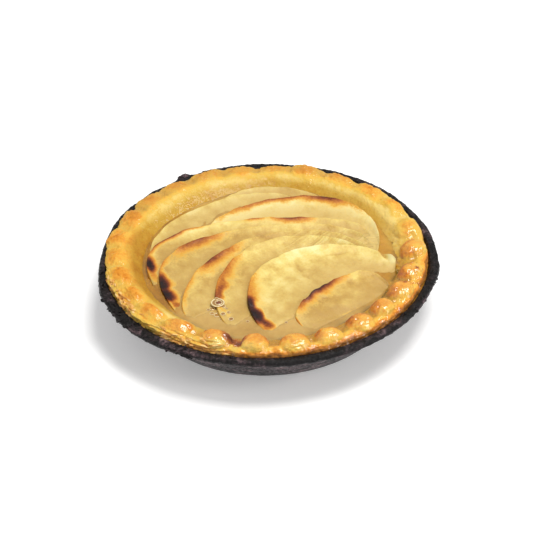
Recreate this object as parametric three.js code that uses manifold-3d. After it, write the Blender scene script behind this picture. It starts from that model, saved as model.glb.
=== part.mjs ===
// An apple tartlet in its own dark baking tin: a crimped shortcrust shell, a custard filling and
// nine half-moon apple slices that lie like shingles, with their browned edges up.
// Millimetres, +Z up, the origin under the middle of the tin, and -Y towards the side with the glaze.
import * as THREE from "three";
import { mergeVertices } from "three/addons/utils/BufferGeometryUtils.js";
import Module from "manifold-3d";

// ---- Driving dimensions ----
const GAP = 0.3; // clearance between pieces that touch

// Tin
const TIN_LIP_RADIUS = 60; // a 12 cm tartlet tin
const TIN_HEIGHT = 18.3;
const TIN_BASE_RADIUS = 45.2;
const TIN_SHEET = 0.9; // pressed steel with its baked-on crust
const TIN_LIP_WIDTH = 2; // how far the lip turns out past the wall
const TIN_MOUTH_RADIUS = 56.8; // inside of the rolled lip
const TIN_STATIONS = 66;

// Baked-on lumps and bends of the lip: where they sit (degrees), how wide, how far out and up
const LIP_LUMPS = [
  { at: 110, wide: 5, out: 0.6, up: 0.5 },
  { at: 122, wide: 5, out: 1.7, up: 1.3 },
  { at: 135, wide: 5, out: 0.7, up: 0.5 },
  { at: 200, wide: 5, out: 1.0, up: 0.4 },
  { at: 222, wide: 16, out: 1.3, up: -0.3 },
  { at: 348, wide: 7, out: 0.5, up: 0.2 },
  { at: 176, wide: 16, out: -1.1, up: 0 },
];

// Pastry shell
const CRUST_RADIUS = 56.4;
const CREST_RADIUS = 51.3;
const CREST_HEIGHT = 21.9;
const CRUST_INNER_RADIUS = 44.3; // just under the custard
const SOFT_INNER_SHIFT = -1.3; // the far and left wall leans in further
const LEANING_WALL = { at: 135, wide: 32, shift: -1.4 }; // and most of all at the far left
const PASTRY_UNDERSIDE = TIN_SHEET + GAP;
const PASTRY_FLOOR = 4;
const PASTRY_FLOOR_RADIUS = 38;
const CRIMPS = 26; // pinched by hand round the rim
const CRIMP_SAMPLES = 6;
const FIRST_CRIMP = 14; // degrees
const CRIMP_DIP = 2.3; // how far the creases sink below the knobs
const SOFT_CRIMP = 0.45; // share of that dip on the softer, far side
const SHARP_SIDE = 305; // degrees, where the crimps stand out most

// Custard
const CUSTARD_LEVEL = 16.5;
const CUSTARD_RINGS = 4;
const CUSTARD_STATIONS = 52;

// Apple slices, the topmost first. Each is a half moon: middle of its chord (x, y), half its length,
// its depth, the turn of its chord in degrees, how much fuller its left end is (skew), how pointed
// the arc is, the bulge of the core side, the height of its raised edge, how far the left and right
// tips sink, and the slope of its face at the left and right.
const SLICE_THICKNESS = 3;
const SLICE_BLUNT = 2; // half the width of a tip
const SLICE_SETTLE = 16; // the face levels out over this distance
const SLICE_STATIONS = 16;
const SLICES = [
  { x: 26, y: -28.6, half: 18.4, deep: 10.7, turn: 37, skew: -0.1, point: 0.7, core: 4.4,
    rise: 19.7, sink: [1.6, 1.2], slope: [0.24, 0.3] },
  { x: 22.4, y: -24.8, half: 28.9, deep: 28.3, turn: 35, skew: 0.07, point: 1.05, core: 0,
    rise: 19.6, sink: [2.2, 1], slope: [0.13, 0.3] },
  { x: 11.3, y: -19.4, half: 30.9, deep: 28.2, turn: 37, skew: -0.04, point: 1.2, core: 0,
    rise: 19.3, sink: [2, 1.2], slope: [0.14, 0.42] },
  { x: 4.9, y: -16.1, half: 36.3, deep: 27.1, turn: 28, skew: -0.08, point: 1.2, core: 0,
    rise: 19.1, sink: [1.8, 1.4], slope: [0.12, 0.45] },
  { x: 3.1, y: -12.1, half: 38.5, deep: 30.2, turn: 28.3, skew: 0.32, point: 0.77, core: 0,
    rise: 19, sink: [1.4, 1.6], slope: [0.14, 0.42] },
  { x: -1.6, y: -0.3, half: 40.6, deep: 22.6, turn: 18.8, skew: 0.35, point: 0.87, core: 0,
    rise: 18.9, sink: [1, 1.8], slope: [0.2, 0.4] },
  { x: 9, y: 9.3, half: 31.2, deep: 27.2, turn: -12, skew: -0.23, point: 1.1, core: 0,
    rise: 18.8, sink: [1.4, 1.6], slope: [0.18, 0.3] },
  { x: -11.3, y: 13, half: 32.2, deep: 22.8, turn: 34, skew: -0.03, point: 0.95, core: 0,
    rise: 18, sink: [0.8, 0.6], slope: [0.16, 0.3] },
  { x: 1.8, y: 18.8, half: 24, deep: 25.8, turn: -4, skew: 0, point: 1, core: 0,
    rise: 17.6, sink: [0.4, 0.6], slope: [0.3, 0.3] },
];

const wasm = await Module();
wasm.setup();

// ---- Shared helpers ----
const radians = (degrees) => (degrees * Math.PI) / 180;

// The smallest turn between two angles, in degrees.
const turnBetween = (a, b) => Math.abs(((a - b + 540) % 360) - 180);

// A slow, repeatable unevenness round the object, between about -1 and 1.
const wobble = (angle, seed) =>
  0.5 * Math.sin(3 * angle + 1.7 * seed) +
  0.3 * Math.sin(7 * angle + 4.1 * seed) +
  0.2 * Math.sin(13 * angle + 2.3 * seed);

// A closed surface from a profile that starts and ends on the Z axis and goes round, counter-clockwise
// seen with the axis on the left; pointAt(angle, index) gives [radius, height] for one profile point.
function turnedSurface(angles, profileLength, pointAt) {
  const position = [];
  const index = [];
  const inner = profileLength - 2;
  const [, startHeight] = pointAt(0, 0);
  const [, endHeight] = pointAt(0, profileLength - 1);
  position.push(0, 0, startHeight, 0, 0, endHeight);
  for (const angle of angles) {
    for (let j = 1; j <= inner; j++) {
      const [radius, height] = pointAt(angle, j);
      position.push(radius * Math.cos(angle), radius * Math.sin(angle), height);
    }
  }
  angles.forEach((_, i) => {
    const here = 2 + i * inner;
    const next = 2 + ((i + 1) % angles.length) * inner;
    index.push(0, next, here);
    for (let j = 0; j < inner - 1; j++) {
      index.push(here + j, next + j, next + j + 1, here + j, next + j + 1, here + j + 1);
    }
    index.push(1, here + inner - 1, next + inner - 1);
  });
  return indexed(position, index);
}

// A closed surface through rings of equal length, with a fan over each end.
function loftedSurface(rings) {
  const count = rings[0].length;
  const index = [];
  for (let i = 0; i < rings.length - 1; i++) {
    for (let j = 0; j < count; j++) {
      const a = i * count + j;
      const b = i * count + ((j + 1) % count);
      index.push(a, b + count, b, a, a + count, b + count);
    }
  }
  const last = (rings.length - 1) * count;
  for (let j = 1; j < count - 1; j++) {
    index.push(0, j, j + 1);
    index.push(last, last + j + 1, last + j);
  }
  return indexed(rings.flat(2), index);
}

function indexed(position, index) {
  const geometry = new THREE.BufferGeometry();
  geometry.setAttribute("position", new THREE.Float32BufferAttribute(position, 3));
  geometry.setIndex(index);
  return geometry;
}

function toSolid(geometry, merge = 1e-4) {
  const bare = mergeVertices(geometry, merge);
  return new wasm.Manifold(
    new wasm.Mesh({
      numProp: 3,
      vertProperties: bare.attributes.position.array,
      triVerts: new Uint32Array(bare.index.array),
    }),
  );
}

const largestBody = (solid) => solid.decompose().sort((a, b) => b.volume() - a.volume())[0];

function meshOf(solid) {
  const mesh = solid.getMesh();
  return indexed(Array.from(mesh.vertProperties), Array.from(mesh.triVerts));
}

// The largest body of a cut solid, as a geometry without the slivers that a cut leaves.
const CUT_MERGE = 0.01;
const toGeometry = (solid) => meshOf(largestBody(toSolid(meshOf(largestBody(solid)), CUT_MERGE)));

const evenAngles = (count) => Array.from({ length: count }, (_, i) => (2 * Math.PI * i) / count);

// ---- Tin ----
// What the lumps and bends add to the lip at one angle.
function lipLump(angle) {
  const degrees = (angle * 180) / Math.PI;
  const sum = { out: 0.35 * wobble(angle, 2), up: 0.3 * wobble(angle, 5) };
  for (const lump of LIP_LUMPS) {
    const share = Math.exp(-((turnBetween(degrees, lump.at) / lump.wide) ** 2));
    sum.out += lump.out * share;
    sum.up += lump.up * share;
  }
  return sum;
}

const WALL_TOP_RADIUS = TIN_LIP_RADIUS - TIN_LIP_WIDTH;

function tinGeometry() {
  const top = TIN_HEIGHT;
  const lip = TIN_LIP_RADIUS;
  // radius, height and how much of the lip's unevenness the point takes
  const profile = [
    [0, 0, 0],
    [TIN_BASE_RADIUS - 1.2, 0, 0],
    [TIN_BASE_RADIUS, 0.7, 0],
    [WALL_TOP_RADIUS, top - 2, 0.3],
    [lip - 0.5, top - 1.9, 1],
    [lip, top - 1, 1],
    [lip - 0.4, top - 0.2, 1],
    [lip - 1.5, top + 0.1, 0.6],
    [TIN_MOUTH_RADIUS + 0.4, top, 0.2],
    [TIN_MOUTH_RADIUS, top - 0.6, 0],
    [TIN_MOUTH_RADIUS - 0.2, top - 2.4, 0],
    [TIN_BASE_RADIUS - 0.8, 1.6, 0],
    [TIN_BASE_RADIUS - 2, TIN_SHEET, 0],
    [0, TIN_SHEET, 0],
  ];
  return turnedSurface(evenAngles(TIN_STATIONS), profile.length, (angle, j) => {
    const [radius, height, share] = profile[j];
    const lump = lipLump(angle);
    return [radius + share * lump.out, height + share * lump.up];
  });
}

// ---- Pastry shell ----
// The angle of the rim at crimp n, with the unevenness of hand work.
function crimpAngle(n) {
  const round = (2 * Math.PI * n) / CRIMPS;
  const drift = 1 + 2.1 * Math.sin(round - 0.5) - 1.5 * Math.cos(2 * round) + Math.sin(3 * round);
  return radians(FIRST_CRIMP + (360 * n) / CRIMPS + drift);
}

// How far the creases sink at an angle, as a share of the full dip.
function crimpShare(angle) {
  const turned = Math.cos(angle - radians(SHARP_SIDE));
  return SOFT_CRIMP + (1 - SOFT_CRIMP) * (0.5 + 0.5 * turned);
}

// 1 on the far and left side, where the inner wall is wide and smooth, and 0 on the side of the glaze.
function softShare(angle) {
  const turned = Math.cos(angle - radians(SHARP_SIDE));
  const share = Math.min(Math.max((0.7 - turned) / 0.6, 0), 1);
  return share * share * (3 - 2 * share);
}

// How far the foot of the inner wall stands in from its radius.
function wallLean(angle) {
  const away = turnBetween((angle * 180) / Math.PI, LEANING_WALL.at) / LEANING_WALL.wide;
  return SOFT_INNER_SHIFT * softShare(angle) + LEANING_WALL.shift * Math.exp(-(away ** 2));
}

// 1 in the middle of a knob and 0 in the crease beside it, for a phase from -1 to 1.
const knob = (phase) => 1 - Math.abs(phase) ** 2.2;

function pastryGeometry() {
  const angles = [];
  const phases = new Map();
  for (let n = 0; n < CRIMPS; n++) {
    const from = (crimpAngle(n - 1) + crimpAngle(n)) / 2;
    const to = (crimpAngle(n) + crimpAngle(n + 1)) / 2;
    for (let k = 0; k < CRIMP_SAMPLES; k++) {
      const angle = from + ((to - from) * k) / CRIMP_SAMPLES;
      angles.push(angle);
      phases.set(angle, { phase: (2 * k) / CRIMP_SAMPLES - 1, n });
    }
  }
  // radius, height, how far a crease sinks there, how far it moves that point outwards, how far the
  // point moves out and up on the softer side, and its share of the wall's lean
  const profile = [
    [0, PASTRY_UNDERSIDE, 0, 0, 0, 0],
    [TIN_BASE_RADIUS - 2.3, PASTRY_UNDERSIDE, 0, 0, 0, 0],
    [CRUST_RADIUS - 0.5, TIN_HEIGHT - 2.5, 0, 0, 0, 0],
    [CRUST_RADIUS, TIN_HEIGHT - 0.9, 0, 0, 0, 0],
    [CRUST_RADIUS, 18.8, 0.15, -0.1, 0, 0],
    [55.3, 20.2, 0.45, -0.2, 0.2, 0],
    [53.6, 21.4, 0.8, 0, 0.6, -0.1],
    [CREST_RADIUS, CREST_HEIGHT, 1, 0, 1.1, -0.1],
    [49, 21.5, 1, 0.2, 1.2, -0.2],
    [47.4, 20.4, 0.8, 0.9, 0.4, -0.6],
    [46.2, 18.8, 0.3, 1.1, 0.2, -0.8, 0.6],
    [CRUST_INNER_RADIUS, 15.4, 0, 0, 0, 0, 1],
    [PASTRY_FLOOR_RADIUS + 3, 5.2, 0, 0, 0, 0],
    [PASTRY_FLOOR_RADIUS, PASTRY_FLOOR, 0, 0, 0, 0],
    [0, PASTRY_FLOOR, 0, 0, 0, 0],
  ];
  return turnedSurface(angles, profile.length, (angle, j) => {
    const [radius, height, dip, shift, softOut, softUp, lean = 0] = profile[j];
    const { phase, n } = phases.get(angle) ?? { phase: 0, n: 0 };
    const soft = softShare(angle);
    const crease = (1 - knob(phase)) * crimpShare(angle);
    const lift = dip * (0.25 * wobble(angle, 1) + 0.3 * Math.sin(2.4 * n) * knob(phase));
    const sway = height > TIN_HEIGHT ? 0.3 * wobble(angle, 3) : 0;
    return [
      radius + shift * crease + softOut * soft + lean * wallLean(angle) + sway,
      height - CRIMP_DIP * dip * crease + softUp * soft + lift,
    ];
  });
}

// The space inside the shell, up to a height, for the custard and for trimming the slices.
function insideGeometry(topHeight, wallHeight, relief) {
  const wall = [
    [PASTRY_FLOOR_RADIUS, PASTRY_FLOOR + GAP],
    [PASTRY_FLOOR_RADIUS + 3 - GAP, 5.2 + GAP],
    [CRUST_INNER_RADIUS - GAP, 15.4],
    [CRUST_INNER_RADIUS - GAP + (wallHeight - 15.4) * 0.5, wallHeight],
  ];
  const edge = wall[wall.length - 1][0];
  const profile = [[0, PASTRY_FLOOR + GAP], ...wall];
  for (let ring = CUSTARD_RINGS - 1; ring >= 0; ring--) {
    profile.push([(edge * ring) / CUSTARD_RINGS, topHeight]);
  }
  return turnedSurface(evenAngles(CUSTARD_STATIONS), profile.length, (angle, j) => {
    const [radius, height] = profile[j];
    const onTop = j > wall.length && radius > 0;
    const leaned = height > 15 ? (wallLean(angle) * radius) / edge : 0;
    return [radius + leaned, height + (onTop ? relief * wobble(angle, radius / 9) : 0)];
  });
}

// ---- Apple slices ----
// One half moon. Grown by a margin and roofed at a height, it is the space that lower pieces give up.
function sliceGeometry(slice, grow = 0, roof = null) {
  const rings = [];
  const turn = radians(slice.turn);
  for (let i = 0; i <= SLICE_STATIONS; i++) {
    const along = -1 + (2 * i) / SLICE_STATIONS;
    const sweep = (along * Math.PI) / 2;
    const arch = Math.max(Math.cos(sweep), 0) ** slice.point;
    const blunt = SLICE_BLUNT + grow;
    const outer = blunt + (slice.deep * (1 - slice.skew * Math.sin(sweep)) - SLICE_BLUNT) * arch;
    const inner = -blunt + (SLICE_BLUNT - slice.core) * arch;
    const sink = along < 0 ? slice.sink[0] : slice.sink[1];
    const edge = slice.rise - sink * Math.abs(along) ** 3;
    const slope = slice.slope[0] + (slice.slope[1] - slice.slope[0]) * (0.5 + 0.5 * Math.sin(sweep));
    const u = (slice.half + grow) * Math.sin(sweep);
    // a point at a distance v from the chord, some way under the face
    const at = (v, below) => {
      const reach = Math.max(outer - v, 0);
      const face = edge - slope * SLICE_SETTLE * (1 - Math.exp(-reach / SLICE_SETTLE));
      const height = below === null ? roof : face - below;
      return [
        slice.x + u * Math.cos(turn) - v * Math.sin(turn),
        slice.y + u * Math.sin(turn) + v * Math.cos(turn),
        height,
      ];
    };
    const across = (share) => inner + (outer - inner) * share;
    const ring = [];
    const floor = SLICE_THICKNESS + grow;
    if (roof === null) {
      const bevel = 0.5;
      for (const share of [0, 0.35, 0.6, 0.8]) ring.push(at(across(share), share === 0 ? 0.3 : 0));
      ring.push(at(outer - bevel, 0), at(outer, bevel), at(outer, floor - bevel));
    } else {
      ring.push(at(inner, null), at(outer, null), at(outer, floor));
    }
    for (const share of [0.97, 0.7, 0.35, 0]) ring.push(at(across(share), floor));
    rings.push(ring);
  }
  return loftedSurface(rings);
}

const ROOF = 40;
const room = toSolid(insideGeometry(ROOF, 22, 0));

// Each slice gives way to those above it; the custard gives way to them all.
const sliceGeometries = [];
let taken = null;
for (const slice of SLICES) {
  const whole = toSolid(sliceGeometry(slice)).intersect(room);
  sliceGeometries.push(toGeometry(taken ? whole.subtract(taken) : whole));
  const space = toSolid(sliceGeometry(slice, GAP, ROOF));
  taken = taken ? taken.add(space) : space;
}
const custard = toSolid(insideGeometry(CUSTARD_LEVEL, CUSTARD_LEVEL + 0.5, 0.15)).subtract(taken);

// ---- Materials and scene graph ----
const material = (color, roughness, metalness = 0) =>
  new THREE.MeshStandardMaterial({ color, roughness, metalness });

function addMesh(group, name, geometry, surface) {
  geometry.computeVertexNormals();
  const mesh = new THREE.Mesh(geometry, surface);
  mesh.name = name;
  group.add(mesh);
}

const group = new THREE.Group();
addMesh(group, "tin", tinGeometry(), material(0x2c2426, 0.55, 0.6));
addMesh(group, "pastry_shell", pastryGeometry(), material(0xe8ab58, 0.45));
addMesh(group, "filling", toGeometry(custard), material(0xd8bb78, 0.35));
sliceGeometries.forEach((geometry, i) => {
  const name = "apple_slice_" + String(i + 1).padStart(2, "0");
  addMesh(group, name, geometry, material(0xf0de94, 0.4));
});

export default group;
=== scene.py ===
import math
from types import SimpleNamespace

import bpy
import numpy as np
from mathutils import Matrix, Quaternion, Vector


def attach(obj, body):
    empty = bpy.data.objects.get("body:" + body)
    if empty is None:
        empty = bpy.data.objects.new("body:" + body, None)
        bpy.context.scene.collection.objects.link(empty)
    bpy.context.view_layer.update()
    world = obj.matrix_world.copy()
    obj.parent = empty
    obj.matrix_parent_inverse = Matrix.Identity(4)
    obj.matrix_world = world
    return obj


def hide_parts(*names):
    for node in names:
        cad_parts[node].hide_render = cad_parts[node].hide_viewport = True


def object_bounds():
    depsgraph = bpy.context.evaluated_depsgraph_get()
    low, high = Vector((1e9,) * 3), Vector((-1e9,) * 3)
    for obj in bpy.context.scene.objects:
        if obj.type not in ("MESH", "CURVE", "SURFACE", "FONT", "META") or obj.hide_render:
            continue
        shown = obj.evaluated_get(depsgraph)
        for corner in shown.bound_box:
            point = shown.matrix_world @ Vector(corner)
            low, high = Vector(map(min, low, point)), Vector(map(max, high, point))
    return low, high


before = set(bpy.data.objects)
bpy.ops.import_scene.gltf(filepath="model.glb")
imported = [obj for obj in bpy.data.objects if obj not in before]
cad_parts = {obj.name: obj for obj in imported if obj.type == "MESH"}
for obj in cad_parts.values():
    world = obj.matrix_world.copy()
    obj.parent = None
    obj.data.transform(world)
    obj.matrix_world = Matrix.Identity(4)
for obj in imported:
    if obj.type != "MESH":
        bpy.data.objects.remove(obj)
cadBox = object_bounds()

mm = 0.001  # the frame is in metres, the sizes below are in millimetres
hashFactors = (374761393, 668265263, 2147483647, 974711, 1274126177)  # odd numbers that scatter well
wobbleWaves = ((0.5, 3, 1.7), (0.3, 7, 4.1), (0.2, 13, 2.3))  # share, waves in a turn, shift
print("frame loaded:", len(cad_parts), "nodes")


def colour(text):
    # a screen colour such as "eaa94b" as the linear one that a shader takes
    parts = [int(text[i:i + 2], 16) / 255 for i in (0, 2, 4)]
    linear = [c / 12.92 if c <= 0.04045 else ((c + 0.055) / 1.055) ** 2.4 for c in parts]
    return (*linear, 1.0)


def smooth(low, high, x):
    # a soft step from 0 at low to 1 at high
    t = np.clip((x - low) / (high - low), 0, 1)
    return t * t * (3 - 2 * t)


def band(start, full, fading, end, x):
    # 1 between full and fading, with a soft step on either side
    return smooth(start, full, x) * (1 - smooth(fading, end, x))


def bell(x, power=2):
    # 1 in the middle, softly down to 0 on both sides
    return np.exp(-np.abs(x) ** power)


def latticeValue(cell, seed):
    # one repeatable random number from -1 to 1 for each corner of the noise lattice
    forX, forY, forZ, forSeed, last = hashFactors
    h = cell[..., 0] * forX + cell[..., 1] * forY + cell[..., 2] * forZ + seed * forSeed
    h = (h ^ (h >> 13)) * last
    h = h ^ (h >> 16)
    return (h & 0xFFFFFF) / 0xFFFFFF * 2 - 1


def noise(points, size, seed, octaves=2):
    # soft noise between about -1 and 1, with lumps of the given size in mm
    total = np.zeros(points.shape[:-1])
    for octave in range(octaves):
        p = points / size * 2 ** octave + 37.3 * octave  # moved along, so that no two octaves line up
        cell = np.floor(p).astype(np.int64)
        f = p - cell
        f = f * f * f * (f * (f * 6 - 15) + 10)
        layer = np.zeros_like(total)
        for corner in np.ndindex(2, 2, 2):
            near = [f[..., k] if corner[k] else 1 - f[..., k] for k in range(3)]
            layer += near[0] * near[1] * near[2] * latticeValue(cell + corner, seed + octave)
        total += 0.5 ** octave * layer
    return total


def layered(points, layers):
    # noises on top of each other: share, size in mm, seed, octaves
    return sum(share * noise(points, size, seed, octaves) for share, size, seed, octaves in layers)


def wobble(angle, seed):
    # the slow unevenness round the tart that its solids have too
    return sum(share * np.sin(turns * angle + shift * seed) for share, turns, shift in wobbleWaves)


def spread(points, steps):
    # a smooth line through rows of control values, with the given steps in each stretch
    rows = np.vstack([2 * points[0] - points[1], points, 2 * points[-1] - points[-2]])
    out = []
    for i, count in enumerate(steps):
        p0, p1, p2, p3 = rows[i:i + 4]
        t = (np.arange(count) / count)[:, None]
        out.append(0.5 * (2 * p1 + (p2 - p0) * t + (2 * p0 - 5 * p1 + 4 * p2 - p3) * t ** 2
                          + (3 * p1 - p0 - 3 * p2 + p3) * t ** 3))
    return np.vstack(out + [points[-1:]])


def turnedBy(degrees, x, y):
    # the same place, measured along axes that are turned by so much
    turn = math.radians(degrees)
    return x * math.cos(turn) + y * math.sin(turn), y * math.cos(turn) - x * math.sin(turn)


def ringAngles(count):
    return np.linspace(0, 2 * np.pi, count, endpoint=False)[:, None]


def ringPoints(angle, radius, height):
    x = radius * np.cos(angle)
    return np.stack([x, radius * np.sin(angle), height + 0 * x], -1)


def gridNormals(p):
    # outward normals of a grid that closes on itself in its first direction
    alongFirst = np.roll(p, -1, 0) - np.roll(p, 1, 0)
    alongSecond = np.gradient(p, axis=1)
    n = np.cross(alongFirst, alongSecond)
    return n / np.maximum(np.linalg.norm(n, axis=-1, keepdims=True), 1e-9)


def quads(rows, columns, closedRows=False, closedColumns=False):
    # the faces of a grid of points, which may close on itself in either direction
    i = np.arange(rows if closedRows else rows - 1)[:, None]
    j = np.arange(columns if closedColumns else columns - 1)[None]
    nextI = (i + 1) % rows
    nextJ = (j + 1) % columns
    corners = [i * columns + j, nextI * columns + j, nextI * columns + nextJ, i * columns + nextJ]
    return np.stack(corners, -1).reshape(-1, 4).tolist()


def addObject(name, data):
    made = bpy.data.objects.new(name, data)
    bpy.context.scene.collection.objects.link(made)
    return made


def writeLayer(mesh, name, values):
    layer = mesh.attributes.new(name, "FLOAT", "POINT")
    layer.data.foreach_set("value", np.asarray(values, np.float32).ravel())


def withPoles(values):
    # the two points that close the ends of a body carry no marks
    return np.append(values.ravel(), [0, 0])


def buildMesh(name, vertices, faces, material, layers, uv=None):
    mesh = bpy.data.meshes.new(name)
    mesh.from_pydata(np.asarray(vertices) * mm, [], faces)
    for key, values in layers.items():
        writeLayer(mesh, key, withPoles(values))
    if uv is not None:
        layer = mesh.uv_layers.new(name="UVMap")
        corner = np.zeros(len(mesh.loops), np.int32)
        mesh.loops.foreach_get("vertex_index", corner)
        layer.data.foreach_set("uv", np.asarray(uv, np.float32)[corner].ravel())
    mesh.materials.append(material)
    mesh.shade_smooth()
    mesh.validate()
    return addObject(name, mesh)


def turnedPiece(name, grid, startHeight, endHeight, material, layers):
    # a closed body of revolution: rings of points, with one pole at each end on the Z axis
    around, count = grid.shape[:2]
    vertices = np.vstack([grid.reshape(-1, 3), [[0, 0, startHeight], [0, 0, endHeight]]])
    start = around * count
    first = np.arange(around) * count
    following = np.roll(first, -1)
    faces = quads(around, count, closedRows=True)
    faces += np.stack([np.full(around, start), following, first], -1).tolist()
    faces += np.stack([np.full(around, start + 1), first + count - 1, following + count - 1], -1).tolist()
    return buildMesh(name, vertices, faces, material, layers)


def placesOf(mesh):
    place = np.zeros(len(mesh.vertices) * 3, np.float32)
    mesh.vertices.foreach_get("co", place)
    return place.reshape(-1, 3)


def keepInside(piece):
    # nothing reaches past the box of the solids
    mesh = piece.data
    low = np.array(cadBox[0]) + 0.02 * mm
    high = np.array(cadBox[1]) - 0.02 * mm
    low[2] = cadBox[0][2]  # it stands on the table
    mesh.vertices.foreach_set("co", np.clip(placesOf(mesh), low, high).astype(np.float32).ravel())
    mesh.update()


def finishPiece(piece, slot, *nodes):
    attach(piece, "root")
    if nodes:
        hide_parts(*nodes)
    print(piece.name + ":", len(piece.data.polygons), "faces")


def feed(tree, node, values):
    # a socket is linked to its input, and anything else becomes the input's value
    for key, value in values.items():
        if isinstance(value, bpy.types.NodeSocket):
            tree.links.new(value, node.inputs[key])
        else:
            node.inputs[key].default_value = value


def addNode(tree, kind, values=None, **settings):
    node = tree.nodes.new(kind)
    for key, value in settings.items():
        setattr(node, key, value)
    feed(tree, node, values or {})
    return node


def outputOf(tree, kind, values=None, socket=0, **settings):
    return addNode(tree, kind, values, **settings).outputs[socket]


def mathNode(tree, operation, a, b=0.0, c=0.0):
    return outputOf(tree, "ShaderNodeMath", {0: a, 1: b, 2: c}, operation=operation)


def vectorMath(tree, operation, a, b=None):
    made = addNode(tree, "ShaderNodeVectorMath", {0: a}, operation=operation)
    if b is not None:
        feed(tree, made, {"Scale" if operation == "SCALE" else 1: b})
    return made.outputs[0]


def newMaterial(name, settings):
    # its finish as it stands, and how far in mm red, green and blue light travels inside
    material = bpy.data.materials.new(name)
    material.use_nodes = True
    tree = material.node_tree
    shader = tree.nodes["Principled BSDF"]
    feed(tree, shader, settings["finish"])
    if "reach" in settings:
        reach = tuple(r * mm for r in settings["reach"])
        feed(tree, shader, {"Subsurface Scale": 1.0, "Subsurface Radius": reach})
    return material, tree, shader


def objectPlace(tree):
    return outputOf(tree, "ShaderNodeTexCoord", socket="Object")


def attributeNode(tree, name):
    return outputOf(tree, "ShaderNodeAttribute", socket="Fac", attribute_name=name)


def noiseNode(tree, place, size, detail=3.0, rough=0.55):
    # size is the width of a blotch in mm
    return outputOf(tree, "ShaderNodeTexNoise", {
        "Vector": place, "Scale": 1 / (size * mm), "Detail": detail, "Roughness": rough})


def stretchedNoise(tree, place, stretch, size=1 / mm, detail=3.0):
    # noise drawn out into fibres or streaks, of one unit when the place is a UV
    stretched = outputOf(tree, "ShaderNodeMapping", {"Vector": place, "Scale": stretch})
    return noiseNode(tree, stretched, size, detail, rough=0.6)


def varied(tree, value, *layers):
    # the value, moved up and down by layers of noise, each with how much it does
    for source, amount in layers:
        centred = mathNode(tree, "SUBTRACT", source, 0.5)
        value = mathNode(tree, "MULTIPLY_ADD", centred, amount, value)
    return value


def rangeNode(tree, value, taken, given):
    return outputOf(tree, "ShaderNodeMapRange", {
        "Value": value, "From Min": taken[0], "From Max": taken[1], "To Min": given[0], "To Max": given[1]})


def rampNode(tree, value, stops):
    ramp = addNode(tree, "ShaderNodeValToRGB", {"Fac": value})
    elements = ramp.color_ramp.elements
    while len(elements) < len(stops):
        elements.new(0.5)
    for element, (at, text) in zip(elements, stops):
        element.position = at
        element.color = colour(text)
    return ramp.outputs["Color"]


def mixColour(tree, share, a, b):
    # the colours are the seventh and eighth inputs of this node, and the third output
    return outputOf(tree, "ShaderNodeMix", {"Factor": share, 6: a, 7: b}, socket=2, data_type="RGBA")


def bumpNode(tree, height, depth, strength, under=None):
    # depth in mm, on top of the bumps under it
    values = {"Height": height, "Distance": depth * mm, "Strength": strength}
    if under:
        values["Normal"] = under
    return outputOf(tree, "ShaderNodeBump", values)


# the crimps shape both the crust and the edge of the custard
crimps = {
    "count": 26,
    "first": 14,        # degrees
    "sharpSide": 305,   # degrees, where they stand out most
    "cosines": (0.1, 0.7),  # of the angle from there, where they begin to stand out and where they all do
}


def crimpAngles():
    # pinched as unevenly as in the solids
    n = np.arange(-1, crimps["count"] + 2)
    turn = 2 * np.pi * n / crimps["count"]
    drift = 1 + 2.1 * np.sin(turn - 0.5) - 1.5 * np.cos(2 * turn) + np.sin(3 * turn)
    return np.radians(crimps["first"] + 360 * n / crimps["count"] + drift)


def crimpPhase(angle):
    # -1 and 1 in the creases, 0 in the middle of a knob, and the knob's number
    middle = crimpAngles()
    crease = (middle[:-1] + middle[1:]) / 2
    base = crease[0]
    a = base + (angle - base) % (2 * np.pi)
    n = np.clip(np.searchsorted(crease, a, side="right") - 1, 0, crimps["count"] - 1)
    return 2 * (a - crease[n]) / (crease[n + 1] - crease[n]) - 1, n


def softness(angle):
    # 0 where the knobs stand out, 1 where the rim is only scalloped
    return 1 - smooth(*crimps["cosines"], np.cos(angle - math.radians(crimps["sharpSide"])))


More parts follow.
